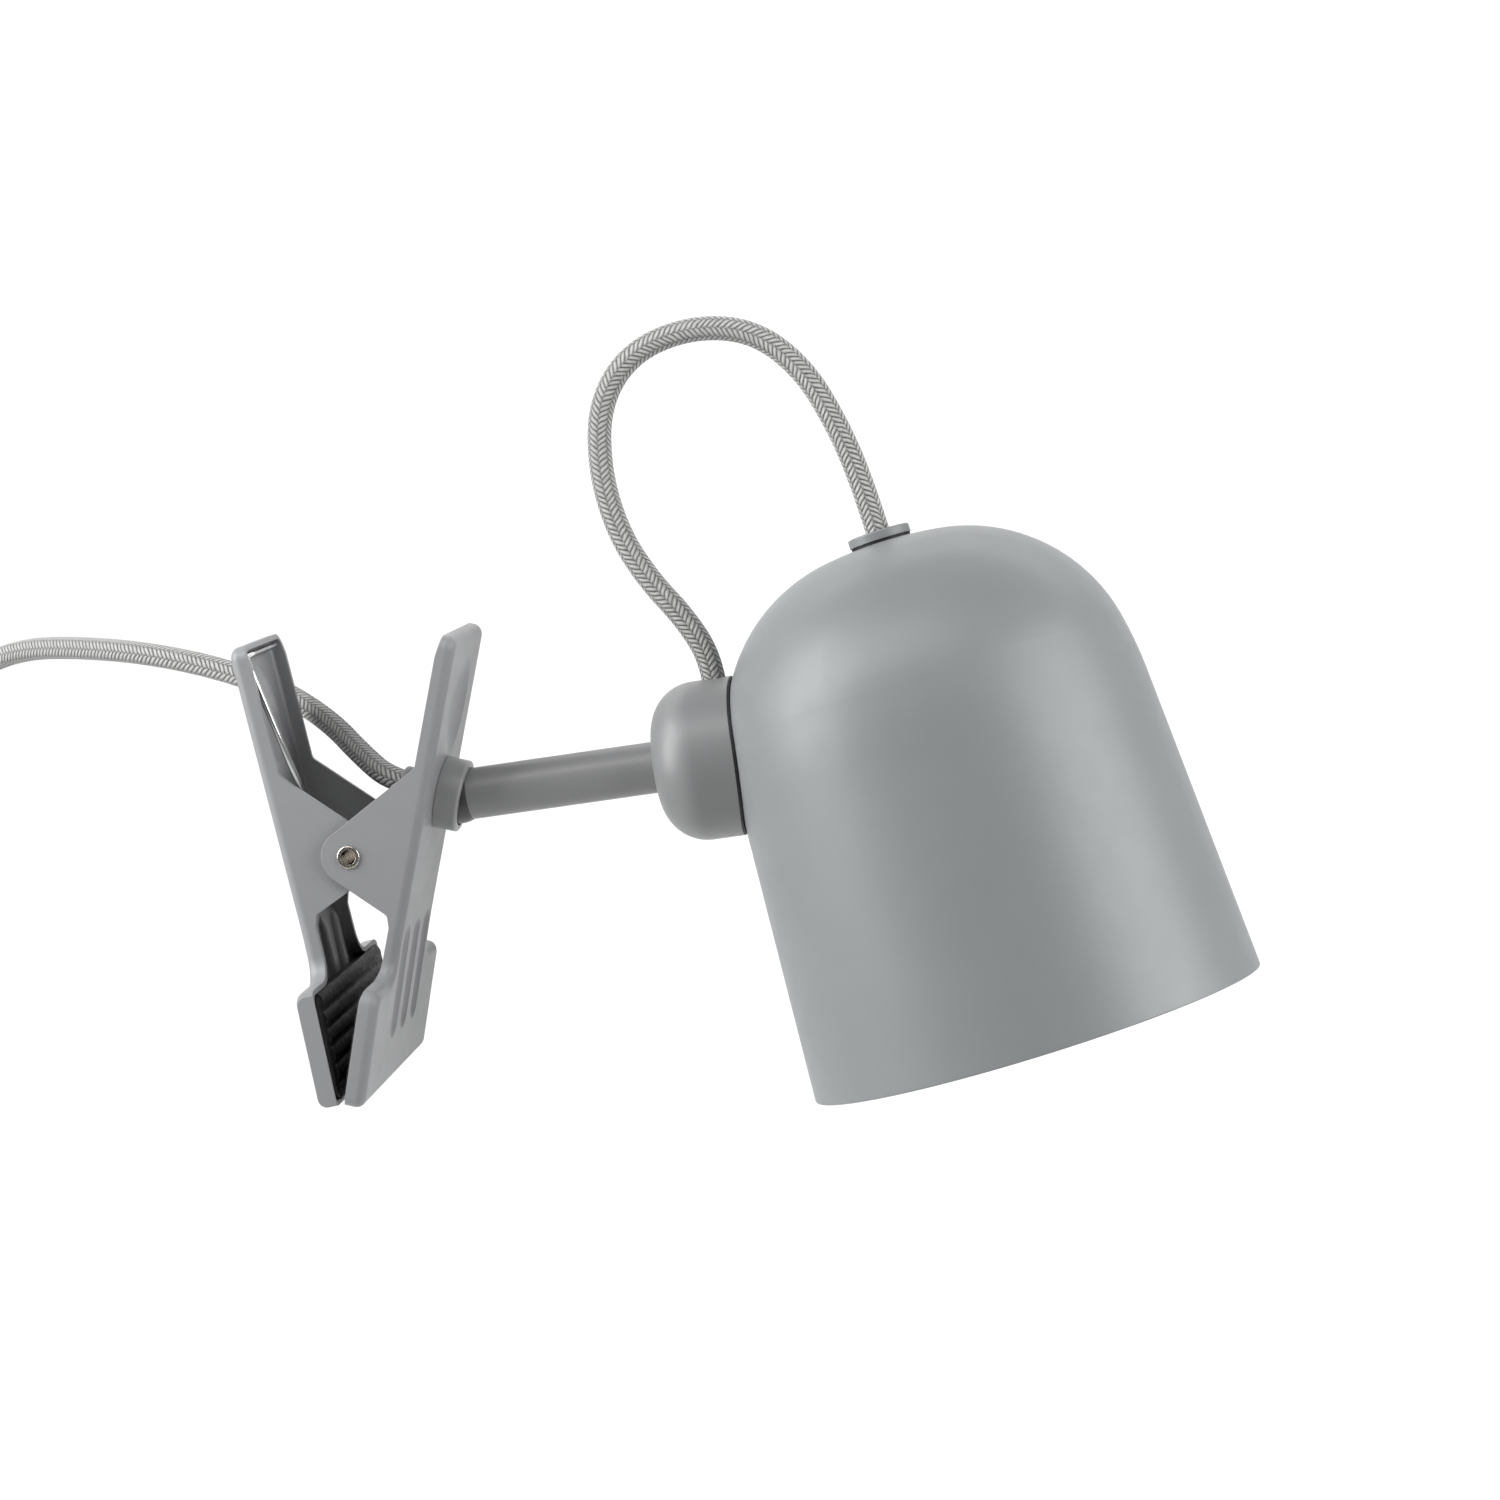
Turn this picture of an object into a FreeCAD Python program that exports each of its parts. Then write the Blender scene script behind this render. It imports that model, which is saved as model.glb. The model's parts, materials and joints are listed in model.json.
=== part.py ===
import FreeCAD, Part
import math
import os

# Clip-on desk lamp: a two-jaw spring clamp, a swivel collar with a ball-jointed arm, a round knuckle with a
# magnetic saddle, and a bell shade whose cord loops over from its cap into the knuckle.
# Millimetres, +Z up, +X from the clamp towards the shade, +Y away from the viewer.
# The origin is the middle of the grip between the two rubber pads.

V = FreeCAD.Vector
X_AXIS = V(1, 0, 0)
Y_AXIS = V(0, 1, 0)
Z_AXIS = V(0, 0, 1)
ORIGIN = V(0, 0, 0)

# Clamp
PIVOT = V(-0.7, 0, 42.0)      # hinge axis of the two jaws, along Y
SHEET = 1.2                   # pressed steel
FRONT_LEAN = 11.1             # degrees that the front jaw leans towards the shade
BACK_LEAN = 13.7              # degrees that the back jaw leans away from it
FRONT_FACE = 15.4             # pivot to the outer face of the front jaw
BACK_FACE = 16.15             # pivot to the outer face of the back jaw
FRONT_WIDTH = 35.8            # over the front jaw's side walls
BACK_WIDTH = 33.0             # over the back jaw's, which nest inside the front jaw's
FOOT_BEND = 2.0               # degrees that each foot is bent outwards from its handle's lean
FOOT_BEND_AT = -16.0          # middle of that gentle bend, along the jaw
FOOT_BEND_RUN = 8.0           # length of jaw that it takes
FOOT_WIDTH = 68.0
FRONT_TOP = 54.6              # pivot to the top of the handle, along the jaw
BACK_TOP = 52.6
FRONT_HANDLE = (4.1, 23.5, 37.2)   # depth of its walls, lowest point of them, middle of the thumb dish
BACK_HANDLE = (4.6, 21.7, 35.6)
FOOT_TOP = -26.4              # top of the foot's two wings, along the jaw
FOOT_END = -53.5              # tip of the jaw
NOSE_R = 6.5                  # rounded end of the cheeks around the pivot
TRAY_DEPTH = 4.5              # height of the rim around a foot
PAD_PROUD = 0.57              # the pad's face past that rim
RIB_HEIGHT = 0.7
RIB_PITCH = 4.2
RIB_COUNT = 6
RIB_INSET = 2.6               # how far the ribs stop short of the pad's ends
PRESS_BEND = 2.2              # outer bend radius of the pressed edges
FLUTES = (-11.0, 0.0, 11.0)    # pressed grooves of the neck, across the jaw
FLUTE_LOW = -41.5
FLUTE_HIGH = -14.2
FLUTE_WIDTH = 7.0
FLUTE_DEPTH = 1.0
FLUTE_BOW = 0.1               # how much deeper a groove is at the middle of its length
THUMB = (23.5, 19.0, 1.3)     # height, width and depth of the thumb dish
CHEEK_FOOT = (11.2, -11.6)    # where a cheek's lower edge ends: from the pivot, and along the jaw
NECK_IN = 12.1                # pivot to the free edge of the neck's walls
PAD_MARGIN = 0.3              # air around the rubber in its tray

# Rivet and spring
RIVET_SHANK_R = 2.1
RIVET_BORE_R = 1.75
RIVET_LIP_R = 2.45
PIVOT_RUN = 0.05              # running clearance around the rivet
WIRE_R = 0.75
BAR_REACH = 26.3              # length of each leg's crossbar
BAR_DROP = 2.5                # crossbar below the top of its handle
COIL_R = 5.3                  # spring: pivot axis to the middle of the wire
TURN_SINK = 0.04              # how much thinner than the wire the sleeve of turns is
LEG_Y = 14.3                  # where each spring leg runs, beside a side wall

# Swivel collar, ball and arm
COLLAR_UP = 16.24             # pivot to the collar's axis, along the front jaw
COLLAR_R = 8.5
COLLAR_LENGTH = 5.7
COLLAR_FLOOR = 0.9
LIP_R = 7.0                   # lets the arm lean 20 degrees each way
BALL_R = 6.6
BALL_BACK = 1.35              # ball centre behind the collar's lip
SOCKET_GAP = 0.05
TRUNNION_R = 0.8              # the two stub pins that the ball tilts on
TRUNNION_END = 8.0
STEM_R = 5.2                  # hollow stem through the jaw
STEM_BORE_R = 3.3
GLAND_R = 4.3
GLAND_REACH = 9.4             # how far the gland stands in behind the jaw's outer face
ARM_RISE = 9.0                # degrees above level
ARM_R = 6.0
ARM_BORE_R = 4.8

# Knuckle: a short cylinder on the arm's own axis
KNUCKLE_BACK = 47.6           # ball centre to its closed end
KNUCKLE_R = 18.5
KNUCKLE_WALL = 3.0
KNUCKLE_ROUND = 10.5          # rounding of the closed end
SADDLE_GAP = 0.25             # air between the contact pad and the shade
SADDLE_PAD = 0.6              # rubber face of the saddle
PLATE_T = 1.5

# Head
HEAD_OUT = 113.6              # ball centre to the shade's axis, along the arm
HEAD_TILT = 9.43              # degrees from square between the arm and the shade's axis
HEAD_ROLL = -5.8              # the head's turn about the arm at rest
CAP_ABOVE = 44.4              # the dome's top above the arm's axis, along the shade's axis
SHADE_HEIGHT = 118.0
SHADE_T = 1.0
DOME_ARCS = [(95.0, 8.5), (40.0, 69.5), (90.0, 8.7)]   # radius and turn in degrees, from the top outwards
CAP_R = 7.3
CAP_TOP = 2.5
SEAM_T = 0.45
NIPPLE_R = 5.0
NIPPLE_BORE_R = 3.2
BRACKET_TOP = -1.5
BRACKET_T = 1.2
HOLDER_TOP = -21.2
HOLDER_R = 13.0
HOLDER_BASE = -39.0
BULB_R = 25.0
BULB_FRONT = -84.5
BULB_PIN_OUT = 5.0            # each lamp pin from the bulb's axis

# Cords
CORD_R = 2.8
CORD_HOLE_R = 2.85
# The loop, in the plane of the head: distance from the ball along the arm, and height above the arm's axis.
LOOP_ROUTE = [(63.4, 16.0), (63.4, 23.0), (58.9, 33.0), (51.5, 43.5), (46.0, 55.5), (43.9, 70.7),
              (46.3, 85.8), (55.2, 96.0), (69.7, 99.6), (84.2, 96.5), (94.5, 85.8), (100.5, 71.2),
              (104.1, 57.5), (106.16, 44.8)]
# The mains cord, from inside the gland, past the back jaw's handle and down to the coil.
MAINS_ROUTE = [(15.6, 0.0, 55.35), (5.8, 0.0, 57.27), (-3.2, 8.6, 62.1), (-13.2, 18.2, 69.0), (-27.0, 25.4, 75.6),
               (-44.6, 30.2, 80.4), (-64.0, 37.6, 82.8), (-84.0, 50.4, 82.6), (-103.5, 64.4, 80.8),
               (-122.0, 76.4, 74.5), (-135.0, 83.2, 58.0), (-138.0, 84.6, 36.0)]
MAINS_SPLIT = 4               # the flexing start ends halfway along the run after this many points
COIL_CENTRE = V(-137.7, 53.0, 22.0)
COIL_MEAN_R = 32.1
COIL_THICK_R = 11.0
TAIL_ROUTE = [(-143.0, 83.4, 21.0), (-149.4, 84.2, 8.0), (-154.7, 83.0, -4.0), (-154.7, 83.0, -17.0)]

# Plug, hanging below the coil with its pins down
PLUG_TOP = V(-154.7, 83.0, -15.0)
RELIEF_LENGTH = 24.0
PLUG_LENGTH = 35.0
PLUG_WIDTH = 35.0
PLUG_DEPTH = 13.7
PIN_R = 2.0
PIN_LENGTH = 19.0
PIN_SPACING = 18.6


def export(name, shape):
    """Write one node, and say so if its solid isn't sound."""
    shape = shape.removeSplitter()
    solids = shape.Solids
    if len(solids) == 1:
        shape = solids[0]
    if not shape.isValid() or len(solids) != 1:
        print("CHECK", name, "valid", shape.isValid(), "solids", len(solids))
    shape.exportStep("parts/" + name + ".step")
    print("%-20s volume %10.1f" % (name, shape.Volume))


def cylinder(radius, start, end):
    """A cylinder from one point to another."""
    axis = end - start
    return Part.makeCylinder(radius, axis.Length, start, axis)


def tube_between(outer, inner, start, end):
    return cylinder(outer, start, end).cut(cylinder(inner, start, end))


def box(x0, x1, y0, y1, z0, z1):
    return Part.makeBox(x1 - x0, y1 - y0, z1 - z0, V(x0, y0, z0))


def polygon_prism(points, direction):
    """Extrude a closed outline."""
    return Part.Face(Part.makePolygon(points + [points[0]])).extrude(direction)


def tangent_arc(corner, before, after, radius):
    """The arc that rounds one corner of a route, as its start, middle and end."""
    into = (corner - before).normalize()
    out = (after - corner).normalize()
    half = into.getAngle(out) / 2
    cut = radius * math.tan(half)
    start = corner - into * cut
    end = corner + out * cut
    inward = (out - into).normalize()
    middle = corner + inward * (radius / math.cos(half) - radius)
    return start, middle, end


def cord_tube(name, points, radius):
    """A tube along straight runs joined by tangent arcs, each as large as its two runs allow."""
    edges = []
    last = points[0]
    bends = []
    for before, corner, after in zip(points, points[1:], points[2:]):
        shorter = min((corner - before).Length, (after - corner).Length)
        half = (corner - before).getAngle(after - corner) / 2
        bend = 0.45 * shorter / math.tan(half)
        bends.append(bend)
        start, middle, end = tangent_arc(corner, before, after, bend)
        edges.append(Part.LineSegment(last, start).toShape())
        edges.append(Part.Arc(start, middle, end).toShape())
        last = end
    edges.append(Part.LineSegment(last, points[-1]).toShape())
    path = Part.Wire(edges)
    ring = Part.Wire([Part.makeCircle(radius, points[0], points[1] - points[0])])
    tube = path.makePipeShell([ring], True, False)
    expected = math.pi * radius ** 2 * path.Length
    print("%s length %.1f volume / expected %.4f radii %s"
          % (name, path.Length, tube.Volume / expected, " ".join("%.0f" % b for b in bends)))
    return tube


# ---- Where each group of pieces sits ----

def place_front(shape):
    """From the jaw's own frame (X out of the jaw, Z up along it, pivot at the origin) to the lamp's."""
    shape.rotate(ORIGIN, Y_AXIS, FRONT_LEAN)
    shape.translate(PIVOT)
    return shape


def place_back(shape):
    shape = shape.mirror(ORIGIN, X_AXIS)
    shape.rotate(ORIGIN, Y_AXIS, -BACK_LEAN)
    shape.translate(PIVOT)
    return shape


def place_collar(shape):
    """From a frame along the collar's axis, with the jaw's outer face at X = 0."""
    shape.translate(V(FRONT_FACE, 0, COLLAR_UP))
    return place_front(shape)


def ball_centre():
    lean = math.radians(FRONT_LEAN)
    out = FRONT_FACE + COLLAR_LENGTH - BALL_BACK
    return PIVOT + V(out * math.cos(lean) + COLLAR_UP * math.sin(lean), 0,
                     COLLAR_UP * math.cos(lean) - out * math.sin(lean))


def place_arm(shape):
    """From a frame with the ball at the origin and the arm along X."""
    shape.rotate(ORIGIN, Y_AXIS, -ARM_RISE)
    shape.translate(ball_centre())
    return shape


def place_knuckle(shape):
    shape.rotate(ORIGIN, X_AXIS, HEAD_ROLL)
    return place_arm(shape)


def tilt_head(shape):
    """From the shade's own frame (dome top at the origin, axis along Z) to the arm's."""
    shape.translate(V(0, 0, CAP_ABOVE))
    shape.rotate(ORIGIN, Y_AXIS, -HEAD_TILT)
    shape.translate(V(HEAD_OUT, 0, 0))
    return shape


def place_head(shape):
    return place_knuckle(tilt_head(shape))


# ---- Jaws ----

def jaw_plan(width, top, inset):
    """The jaw's outline seen square to its face: a handle and neck, flaring into a wide foot."""
    half = width / 2 - inset
    wide = FOOT_WIDTH / 2 - inset
    top = top - inset
    wing = FOOT_TOP - inset
    tip = FOOT_END + inset
    flare = 5.0 + inset
    corner = 3.4 - inset
    heel = 2.4 - inset
    crown = 3.0 - inset
    k = 1 - math.sqrt(0.5)

    def side(s):
        """Points and arcs down one side, from the crown to the heel."""
        return [
            Part.Arc(V(0, s * (half - crown), top), V(0, s * (half - crown * k), top - crown * k),
                     V(0, s * half, top - crown)).toShape(),
            Part.LineSegment(V(0, s * half, top - crown), V(0, s * half, wing + flare)).toShape(),
            Part.Arc(V(0, s * half, wing + flare), V(0, s * (half + flare * k), wing + flare * k),
                     V(0, s * (half + flare), wing)).toShape(),
            Part.LineSegment(V(0, s * (half + flare), wing), V(0, s * (wide - corner), wing)).toShape(),
            Part.Arc(V(0, s * (wide - corner), wing), V(0, s * (wide - corner * k), wing - corner * k),
                     V(0, s * wide, wing - corner)).toShape(),
            Part.LineSegment(V(0, s * wide, wing - corner), V(0, s * wide, tip + heel)).toShape(),
            Part.Arc(V(0, s * wide, tip + heel), V(0, s * (wide - heel * k), tip + heel * k),
                     V(0, s * (wide - heel), tip)).toShape(),
        ]

    edges = side(1) + side(-1)
    edges.append(Part.LineSegment(V(0, half - crown, top), V(0, crown - half, top)).toShape())
    edges.append(Part.LineSegment(V(0, wide - heel, tip), V(0, heel - wide, tip)).toShape())
    return Part.Face(Part.Wire(Part.__sortEdges__(edges)))


def bend_foot(thing, face):
    """Turn a shape drawn in line with the handle to where the foot's bend puts it."""
    thing.rotate(V(face, 0, FOOT_BEND_AT), Y_AXIS, -FOOT_BEND)
    return thing


def bent_point(face, x, z):
    turn = math.radians(FOOT_BEND)
    dx, dz = x - face, z - FOOT_BEND_AT
    return V(face + dx * math.cos(turn) - dz * math.sin(turn), 0,
             FOOT_BEND_AT + dx * math.sin(turn) + dz * math.cos(turn))


def face_side(face, depth, top):
    """All that is behind a jaw's face, which bends gently outwards at its neck, and that bend's two heights."""
    low = bent_point(face, face, FOOT_END - 2)
    radius = FOOT_BEND_RUN / 2 / math.tan(math.radians(FOOT_BEND) / 2)
    start, middle, end = tangent_arc(V(face, 0, FOOT_BEND_AT), V(face, 0, top), low, radius)
    behind = [low, V(-depth, 0, low.z), V(-depth, 0, top), V(face, 0, top)]
    edges = [Part.Arc(start, middle, end).toShape(), Part.LineSegment(end, low).toShape()]
    edges += [Part.LineSegment(a, b).toShape() for a, b in zip(behind, behind[1:] + [start])]
    side = Part.Face(Part.Wire(edges))
    side.translate(V(0, -FOOT_WIDTH, 0))
    return side.extrude(V(0, 2 * FOOT_WIDTH, 0)), (start.z, end.z)


def jaw_slab(width, top, inset, face, bend):
    """The jaw's outline as a thick slab, its outer face from X = face outwards, with a rounded edge."""
    depth = NOSE_R + 2
    slab = jaw_plan(width, top, inset)
    slab.translate(V(-depth, 0, 0))
    slab = slab.extrude(V(face + depth + 4, 0, 0))
    behind, bend_heights = face_side(face, depth + 1, top + 2)
    slab = slab.common(behind)

    def across_bend(edge):
        return any(abs(edge.BoundBox.ZMin - z) + abs(edge.BoundBox.ZMax - z) < 1e-3 for z in bend_heights)

    on_face = [e for e in slab.Edges if all(v.X > face - 1e-4 for v in e.Vertexes)]
    return slab.makeFillet(bend, [e for e in on_face if not across_bend(e)])


def tangent_on_nose(x, z, above):
    """Where the line from (x, z) touches the nose circle around the pivot, on its upper or lower side."""
    away = math.hypot(x, z)
    angle = math.atan2(z, x) + (1 if above else -1) * math.acos(NOSE_R / away)
    return NOSE_R * math.cos(angle), NOSE_R * math.sin(angle)


def jaw_profile(face, top, width, handle_depth, cheek_top):
    """The jaw's side view: how far its walls stand in from the outer face, with cheeks out to the pivot."""
    handle = face - handle_depth
    tray = face - TRAY_DEPTH
    clear = face + 4
    upper = tangent_on_nose(handle, cheek_top, True)
    lower = tangent_on_nose(*CHEEK_FOOT, False)

    def at(x, z):
        return V(x, -width, z)

    def foot(x, z):
        p = bent_point(face, x, z)
        return at(p.x, p.z)

    corners = [at(clear, top + 1), at(handle + 0.8, top + 1), at(handle, top - 5.0), at(handle, cheek_top),
               at(*upper)]
    nose_end = at(*lower)
    rest = [nose_end, at(*CHEEK_FOOT), at(NECK_IN, CHEEK_FOOT[1] - 2.8), at(NECK_IN, FOOT_TOP + 2.4),
            foot(tray, FOOT_TOP - 2.1), foot(tray, FOOT_END - 1), at(clear, FOOT_END - 1)]
    edges = [Part.LineSegment(a, b).toShape() for a, b in zip(corners, corners[1:])]
    edges.append(Part.Arc(corners[-1], at(-NOSE_R, 0), nose_end).toShape())
    edges += [Part.LineSegment(a, b).toShape() for a, b in zip(rest, rest[1:] + corners[:1])]
    side = Part.Face(Part.Wire(edges)).extrude(V(0, 2 * width, 0))
    soft = [e for e in side.Edges
            if len(e.Vertexes) == 2 and abs(e.tangentAt(e.FirstParameter).y) > 0.99
            and any(abs(e.BoundBox.XMin - x) < 0.01 for x in (handle, CHEEK_FOOT[0], NECK_IN))]
    return side.makeFillet(1.6, soft)


def dish(face, length, width, depth):
    """A shallow oval hollow in a flat face at X = face, as the solid it is pressed by."""
    swing = ((width / 2) ** 2 + depth ** 2) / (2 * depth)
    axis_x = face - depth + swing
    ends = [V(face, 0, -length / 2), V(face, 0, length / 2)]
    arc = Part.Arc(ends[0], V(face - depth, 0, 0), ends[1]).toShape()
    axis_ends = [V(axis_x, 0, -length / 2), V(axis_x, 0, length / 2)]
    outline = Part.Wire([Part.LineSegment(axis_ends[0], ends[0]).toShape(), arc,
                         Part.LineSegment(ends[1], axis_ends[1]).toShape(),
                         Part.LineSegment(axis_ends[1], axis_ends[0]).toShape()])
    solid = Part.Face(outline).revolve(V(axis_x, 0, 0), Z_AXIS, 360)
    return solid


def flute(face, y, low, high, width, depth):
    """A pressed groove along the neck with rounded ends, as the long rounded tool it is pressed by."""
    bow = ((width / 2) ** 2 + depth ** 2) / (2 * depth)
    axis_x = face - depth + bow
    start, finish = low + width / 2, high - width / 2
    k = bow * math.sqrt(0.5)
    poles = [V(axis_x, y, start - bow), V(axis_x, y, finish + bow)]
    sides = [V(axis_x + bow, y, start), V(axis_x + bow, y, finish)]
    outline = Part.Wire([Part.Arc(poles[0], V(axis_x + k, y, start - k), sides[0]).toShape(),
                         Part.Arc(sides[0], V(axis_x + bow + FLUTE_BOW, y, (low + high) / 2), sides[1]).toShape(),
                         Part.Arc(sides[1], V(axis_x + k, y, finish + k), poles[1]).toShape(),
                         Part.LineSegment(poles[1], poles[0]).toShape()])
    return Part.Face(outline).revolve(V(axis_x, y, 0), Z_AXIS, 360)


def flutes(face, spare=0.0):
    """The neck's grooves in line with the handle, or with some spare the room a pad leaves for their backs."""
    width = FLUTE_WIDTH + 2 * spare
    return [flute(face - spare, y, FLUTE_LOW - spare, FLUTE_HIGH + spare, width, FLUTE_DEPTH) for y in FLUTES]


def press(slab, face, dish_at):
    """The thumb dish and the bent neck's grooves pressed into a jaw's slab."""
    thumb = dish(face, *THUMB)
    thumb.translate(V(0, 0, dish_at))
    slab = slab.cut(thumb)
    for groove in flutes(face):
        slab = slab.cut(bend_foot(groove, face))
    return slab


def jaw(face, width, top, handle, hole_r):
    """One pressed jaw in its own frame: face out along +X, handle up, foot down, pivot at the origin."""
    handle_depth, cheek_top, dish_at = handle
    outer = press(jaw_slab(width, top, 0.0, face, PRESS_BEND), face, dish_at)
    inner = press(jaw_slab(width, top, SHEET, face - SHEET, PRESS_BEND - SHEET), face - SHEET, dish_at)
    walls = outer.cut(inner)
    walls = walls.common(jaw_profile(face, top, width, handle_depth, cheek_top))
    hole = cylinder(hole_r, V(0, -width, 0), V(0, width, 0))
    return walls.cut(hole)


def pad(face):
    """A ribbed rubber pad in a foot's tray, in the jaw's own frame."""
    back = face - SHEET
    front = face - TRAY_DEPTH - PAD_PROUD
    margin = SHEET + PAD_MARGIN
    half = FOOT_WIDTH / 2 - margin
    low = FOOT_END + margin
    high = FOOT_TOP - margin
    base = box(front, back, -half, half, low, high)
    base = base.makeFillet(3.4, [e for e in base.Edges if abs(e.tangentAt(e.FirstParameter).x) > 0.99])
    base = base.makeChamfer(0.9, [e for e in base.Edges if abs(e.BoundBox.XMin - back) < 0.001])
    base = base.cut(flutes(back, PAD_MARGIN))
    middle = (low + high) / 2
    radius = (RIB_HEIGHT ** 2 + (RIB_PITCH * 0.42) ** 2) / (2 * RIB_HEIGHT)
    ribs = []
    for i in range(RIB_COUNT):
        z = middle + (i - (RIB_COUNT - 1) / 2) * RIB_PITCH
        axis_x = front - RIB_HEIGHT + radius
        rod = cylinder(radius, V(axis_x, RIB_INSET - half, z), V(axis_x, half - RIB_INSET, z))
        ribs.append(rod.common(box(front - RIB_HEIGHT - 1, front + 0.4, -half, half, z - 2, z + 2)))
    return bend_foot(base.fuse(ribs), face)


# ---- Rivet and spring ----

def rivet():
    """A hollow rivet through both jaws' cheeks, rolled over at each end."""
    half = FRONT_WIDTH / 2
    shank = cylinder(RIVET_SHANK_R, V(0, -half - 0.3, 0), V(0, half + 0.3, 0))
    lips = []
    for s in (-1, 1):
        lip = cylinder(RIVET_LIP_R + 0.25, V(0, s * (half + 0.05), 0), V(0, s * (half + 0.6), 0))
        rim = [e for e in lip.Edges if abs(abs(e.CenterOfMass.y) - half - 0.6) < 0.01]
        lips.append(lip.makeFillet(0.35, rim))
    bore = cylinder(RIVET_BORE_R, V(0, -half - 2, 0), V(0, half + 2, 0))
    return shank.fuse(lips).cut(bore)


def bent_leg(x, top, y, reach):
    """A spring leg: up beside a wall from the coil, then square across under the handle's top."""
    foot = V(COIL_R, y, 0)
    knee = V(x, y, top)
    end = V(x, y - math.copysign(reach, y), top)
    start, middle, finish = tangent_arc(knee, foot, end, 2.2)
    path = Part.Wire([Part.LineSegment(foot, start).toShape(), Part.Arc(start, middle, finish).toShape(),
                      Part.LineSegment(finish, end).toShape()])
    ring = Part.Wire([Part.makeCircle(WIRE_R, foot, knee - foot)])
    return path.makePipeShell([ring], True, False)


def spring():
    """The jaw spring at rest, its close turns drawn as one sleeve just thinner than the wire."""
    half = LEG_Y + WIRE_R - TURN_SINK
    sunk = WIRE_R - TURN_SINK
    turns = tube_between(COIL_R + sunk, COIL_R - sunk, V(0, -half, 0), V(0, half, 0))
    turns.translate(PIVOT)
    front_leg = place_front(bent_leg(FRONT_FACE - SHEET - 2.1, FRONT_TOP - BAR_DROP, LEG_Y, BAR_REACH))
    back_leg = place_back(bent_leg(BACK_FACE - SHEET - 2.1, BACK_TOP - BAR_DROP, -LEG_Y, BAR_REACH))
    return turns.fuse([front_leg, back_leg])


# ---- Collar, ball and arm, along the collar's or the arm's own X axis ----

def spun(points, arcs):
    """Turn an outline about X. A pair of points listed in arcs is joined through the given middle point."""
    edges = []
    for i, (a, b) in enumerate(zip(points, points[1:] + points[:1])):
        if i in arcs:
            edges.append(Part.Arc(a, arcs[i], b).toShape())
        else:
            edges.append(Part.LineSegment(a, b).toShape())
    return Part.Face(Part.Wire(edges)).revolve(ORIGIN, X_AXIS, 360)


def on_sphere(x, radius, centre_x):
    """The point of a sphere on the X axis that is at x."""
    return V(x, 0, math.sqrt(radius ** 2 - (x - centre_x) ** 2))


def collar():
    """The swivel cup: a round socket for the ball, and a hollow stem through the jaw."""
    socket = BALL_R + SOCKET_GAP
    centre = COLLAR_LENGTH - BALL_BACK
    soft = 0.7
    bevel = soft * (1 - math.sqrt(0.5))
    points = [V(-4.0, 0, STEM_BORE_R), V(-4.0, 0, STEM_R), V(0.1, 0, STEM_R), V(0.1, 0, COLLAR_R),
              V(COLLAR_LENGTH - soft, 0, COLLAR_R), V(COLLAR_LENGTH, 0, COLLAR_R - soft),
              V(COLLAR_LENGTH, 0, LIP_R), V(centre, 0, socket), V(COLLAR_FLOOR, 0, socket),
              V(COLLAR_FLOOR, 0, STEM_BORE_R)]
    cup = spun(points, {4: V(COLLAR_LENGTH - bevel, 0, COLLAR_R - bevel)})
    blind = TRUNNION_END + SOCKET_GAP
    return cup.cut(cylinder(TRUNNION_R + SOCKET_GAP, V(centre, -blind, 0), V(centre, blind, 0)))


def collar_nut():
    """The thin round nut that holds the stem behind the jaw."""
    nut = tube_between(7.4, STEM_R, V(-3.4, 0, 0), V(-SHEET - 0.35, 0, 0))
    edges = [e for e in nut.Edges if e.Closed and abs(e.Curve.Radius - 7.4) < 0.01]
    return nut.makeChamfer(0.3, edges)


def gland():
    """The short dark bush on the end of the stem, rounded where the cord comes out."""
    soft = 1.0
    bevel = soft * (1 - math.sqrt(0.5))
    points = [V(-4.05, 0, CORD_HOLE_R), V(-7.4, 0, CORD_HOLE_R), V(-GLAND_REACH, 0, CORD_HOLE_R + 0.3),
              V(-GLAND_REACH, 0, GLAND_R - soft), V(soft - GLAND_REACH, 0, GLAND_R), V(-4.05, 0, GLAND_R)]
    return spun(points, {3: V(bevel - GLAND_REACH, 0, GLAND_R - bevel)})


def arm_ball():
    """A hollow ball on two stub pins, open behind for the cord to swing in, with a seat for the arm tube."""
    back, seat, bore = -0.8, 2.6, 3.6
    front = math.sqrt(BALL_R ** 2 - ARM_R ** 2)
    points = [V(back, 0, bore), on_sphere(back, BALL_R, 0), V(front, 0, ARM_R), V(seat, 0, ARM_R),
              V(seat, 0, bore)]
    ball = spun(points, {1: on_sphere(0.9, BALL_R, 0)})
    stubs = [cylinder(TRUNNION_R, V(0, s * 4.5, 0), V(0, s * TRUNNION_END, 0)) for s in (-1, 1)]
    return ball.fuse(stubs)


def arm_tube():
    end = KNUCKLE_BACK + KNUCKLE_WALL + 3.4
    return tube_between(ARM_R, ARM_BORE_R, V(2.6, 0, 0), V(end, 0, 0))


def arm_nut():
    """The hexagon nut inside the knuckle that keeps it on the arm."""
    across = 16.0 / math.sqrt(3)
    start = KNUCKLE_BACK + KNUCKLE_WALL + 0.15
    points = [V(start, across * math.cos(math.radians(60 * i)), across * math.sin(math.radians(60 * i)))
              for i in range(6)]
    return polygon_prism(points, V(3.0, 0, 0)).cut(cylinder(ARM_R, V(start - 1, 0, 0), V(start + 5, 0, 0)))


# ---- Shade outline, shared by the shade, the saddle and its pad ----

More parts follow.
